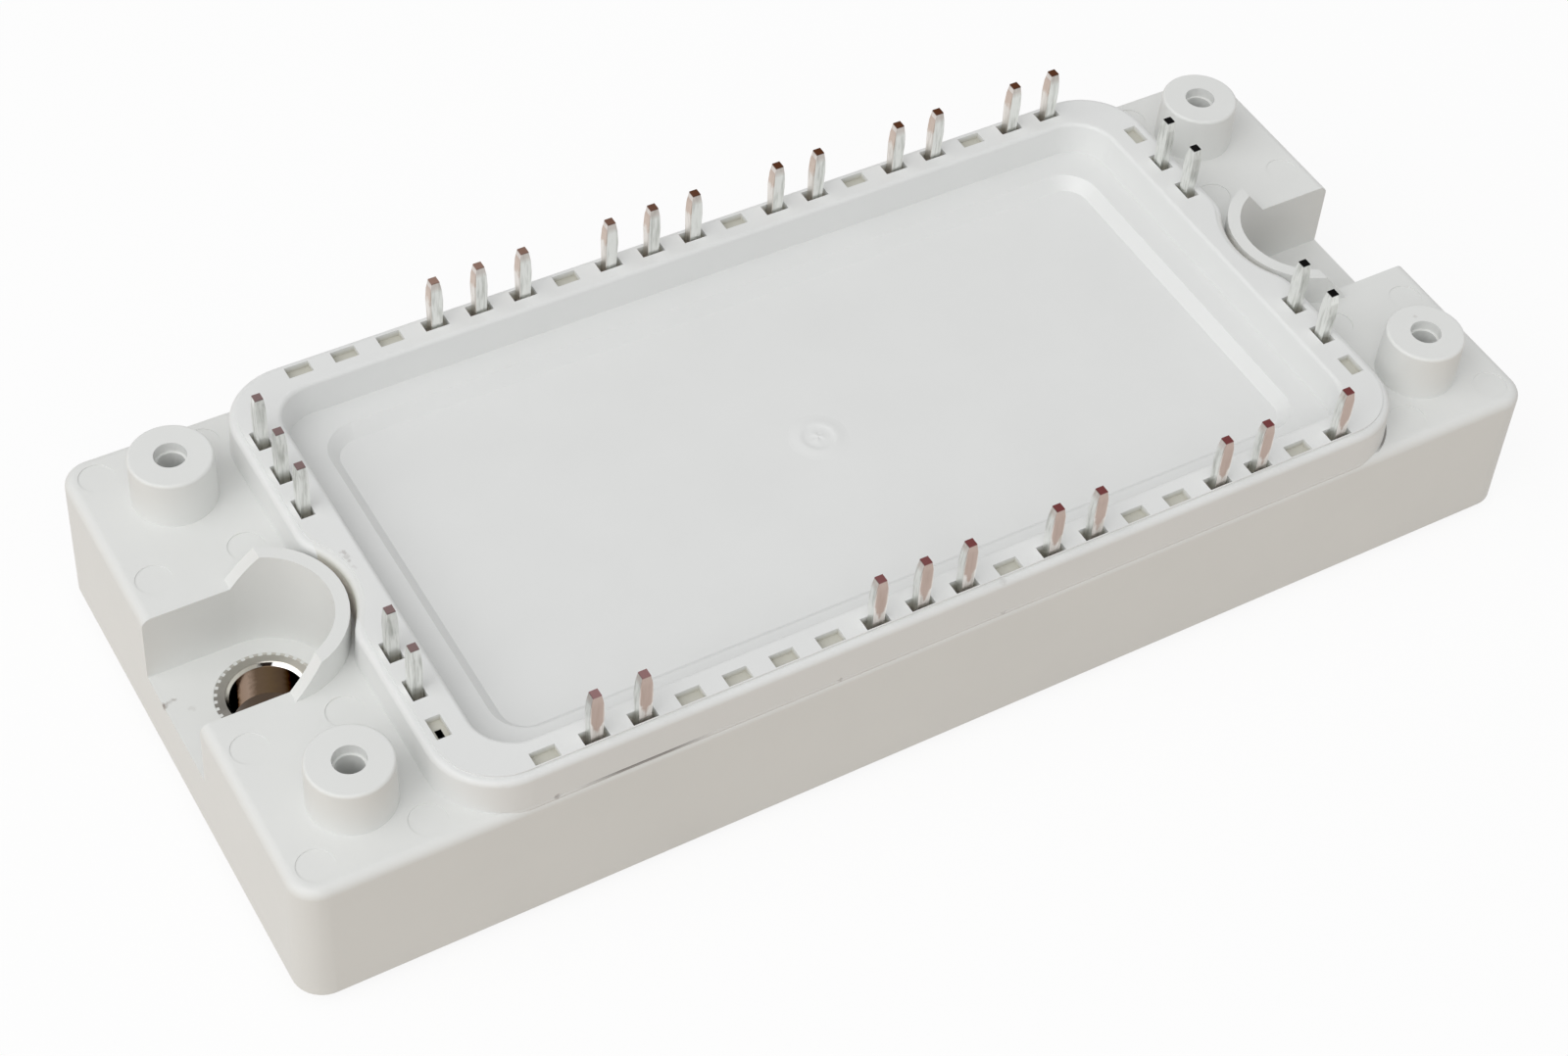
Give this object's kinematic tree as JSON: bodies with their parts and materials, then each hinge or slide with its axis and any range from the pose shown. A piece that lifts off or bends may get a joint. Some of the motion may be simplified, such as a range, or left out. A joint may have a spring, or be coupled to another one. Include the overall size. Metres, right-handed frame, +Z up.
{
  "type": "igbt transistor module",
  "caption": "Flat white power transistor module with a metal base plate, rows of solder pins around a stepped tray, corner posts and a bushed screw recess in each end.",
  "frame": {"origin": "middle of the base plate's underside, on the bounding box's bottom face", "axes": "+X along the long side, +Y across it, +Z up from the base plate to the solder pins"},
  "size_m": [0.1076, 0.045, 0.0205],
  "materials": {
    "housing_plastic": "moulded white thermoplastic, fine matte",
    "lid_plastic": "moulded white thermoplastic, fine matte",
    "nickel_plate": "nickel-plated copper, satin",
    "bush_steel": "plated steel, turned and knurled",
    "ribbon_aluminium": "drawn aluminium ribbon",
    "tinned_copper": "tin-plated copper with bare sheared edges",
    "substrate_ceramic": "alumina, white",
    "bare_copper": null,
    "solder": "soft solder",
    "silicon": "polished silicon with metallised top",
    "thermistor_body": "sintered ceramic chip",
    "clear_gel": "soft clear silicone gel"
  },
  "bodies": {
    "root": {"base_plate": "nickel_plate", "bush_left": "bush_steel", "bush_right": "bush_steel", "chip_ribbons": "ribbon_aluminium", "diode_chips_left": "silicon", "diode_chips_right": "silicon", "housing_frame": "housing_plastic", "igbt_chips_left": "silicon", "igbt_chips_right": "silicon", "lid": "lid_plastic", "silicone_gel": "clear_gel", "substrate_ceramic_left": "substrate_ceramic", "substrate_ceramic_right": "substrate_ceramic", "substrate_copper_left": "bare_copper", "substrate_copper_right": "bare_copper", "substrate_solder_left": "solder", "substrate_solder_right": "solder", "substrate_tracks_left": "bare_copper", "substrate_tracks_right": "bare_copper", "terminal_back_1": "tinned_copper", "terminal_back_10": "tinned_copper", "terminal_back_11": "tinned_copper", "terminal_back_12": "tinned_copper", "terminal_back_2": "tinned_copper", "terminal_back_3": "tinned_copper", "terminal_back_4": "tinned_copper", "terminal_back_5": "tinned_copper", "terminal_back_6": "tinned_copper", "terminal_back_7": "tinned_copper", "terminal_back_8": "tinned_copper", "terminal_back_9": "tinned_copper", "terminal_front_1": "tinned_copper", "terminal_front_10": "tinned_copper", "terminal_front_2": "tinned_copper", "terminal_front_3": "tinned_copper", "terminal_front_4": "tinned_copper", "terminal_front_5": "tinned_copper", "terminal_front_6": "tinned_copper", "terminal_front_7": "tinned_copper", "terminal_front_8": "tinned_copper", "terminal_front_9": "tinned_copper", "terminal_left_1": "tinned_copper", "terminal_left_2": "tinned_copper", "terminal_left_3": "tinned_copper", "terminal_left_4": "tinned_copper", "terminal_left_5": "tinned_copper", "terminal_ribbons": "ribbon_aluminium", "terminal_right_1": "tinned_copper", "terminal_right_2": "tinned_copper", "terminal_right_3": "tinned_copper", "terminal_right_4": "tinned_copper", "thermistor": "thermistor_body"}
  },
  "joints": []
}
